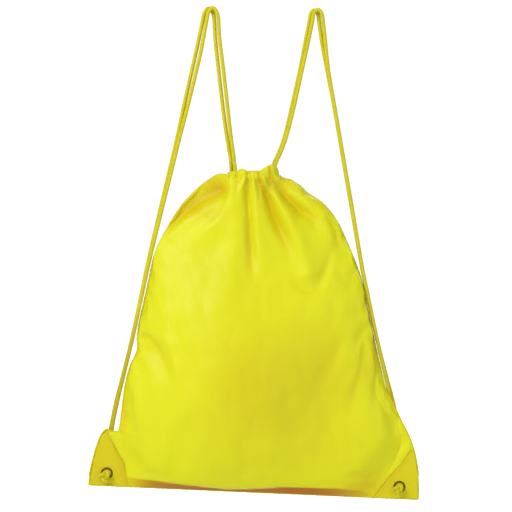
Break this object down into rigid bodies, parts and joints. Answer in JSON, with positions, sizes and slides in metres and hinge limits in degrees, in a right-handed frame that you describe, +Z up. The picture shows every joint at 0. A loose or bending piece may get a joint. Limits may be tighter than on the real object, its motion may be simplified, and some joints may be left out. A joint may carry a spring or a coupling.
{
  "type": "drawstring backpack",
  "caption": "Light cloth backpack whose mouth is gathered shut by two cords that run on as shoulder straps to knotted eyelets in the bottom corners.",
  "frame": {"origin": "underside of the left shoulder cord's bend, midway between its two strands, where the left peg holds it", "axes": "+X to the viewer's right along the bag's width, +Y from the bag's front to its back along the peg, +Z up"},
  "size_m": [0.34, 0.0622, 0.508],
  "materials": {
    "cloth": "satin plain-weave polyester",
    "thread": "matt sewing thread",
    "eyelet_metal": "thin pressed, polished",
    "cord": "braided polyester"
  },
  "bodies": {
    "bag": {"front_panel": "cloth", "back_panel": "cloth", "left_side_seam": "cloth", "right_side_seam": "cloth", "bottom_seam": "cloth", "front_casing": "cloth", "back_casing": "cloth", "left_front_patch": "cloth", "left_back_patch": "cloth", "right_front_patch": "cloth", "right_back_patch": "cloth", "front_casing_stitching": "thread", "back_casing_stitching": "thread", "left_bar_tacks": "thread", "right_bar_tacks": "thread", "left_patch_stitching": "thread", "right_patch_stitching": "thread", "left_eyelet": "eyelet_metal", "left_eyelet_washer": "eyelet_metal", "right_eyelet": "eyelet_metal", "right_eyelet_washer": "eyelet_metal", "left_cord_casing_run": "cord", "right_cord_casing_run": "cord", "left_cord_eyelet_end": "cord", "right_cord_eyelet_end": "cord", "left_knot": "cord", "right_knot": "cord"},
    "left_shoulder_cord": {"left_cord_front_strand": "cord", "left_cord_back_strand": "cord"},
    "right_shoulder_cord": {"right_cord_front_strand": "cord", "right_cord_back_strand": "cord"}
  },
  "joints": [
    {"name": "left_cord_swing", "type": "hinge", "parent": "bag", "child": "left_shoulder_cord", "pos_m": [0.02175, 0, -0.156], "axis": [-0.3879, 0.0204, -0.9215], "range_deg": [0, 60]},
    {"name": "right_cord_swing", "type": "hinge", "parent": "bag", "child": "right_shoulder_cord", "pos_m": [0.0665, 0, -0.155], "axis": [-0.3668, -0.0196, 0.9301], "range_deg": [0, 60]}
  ]
}
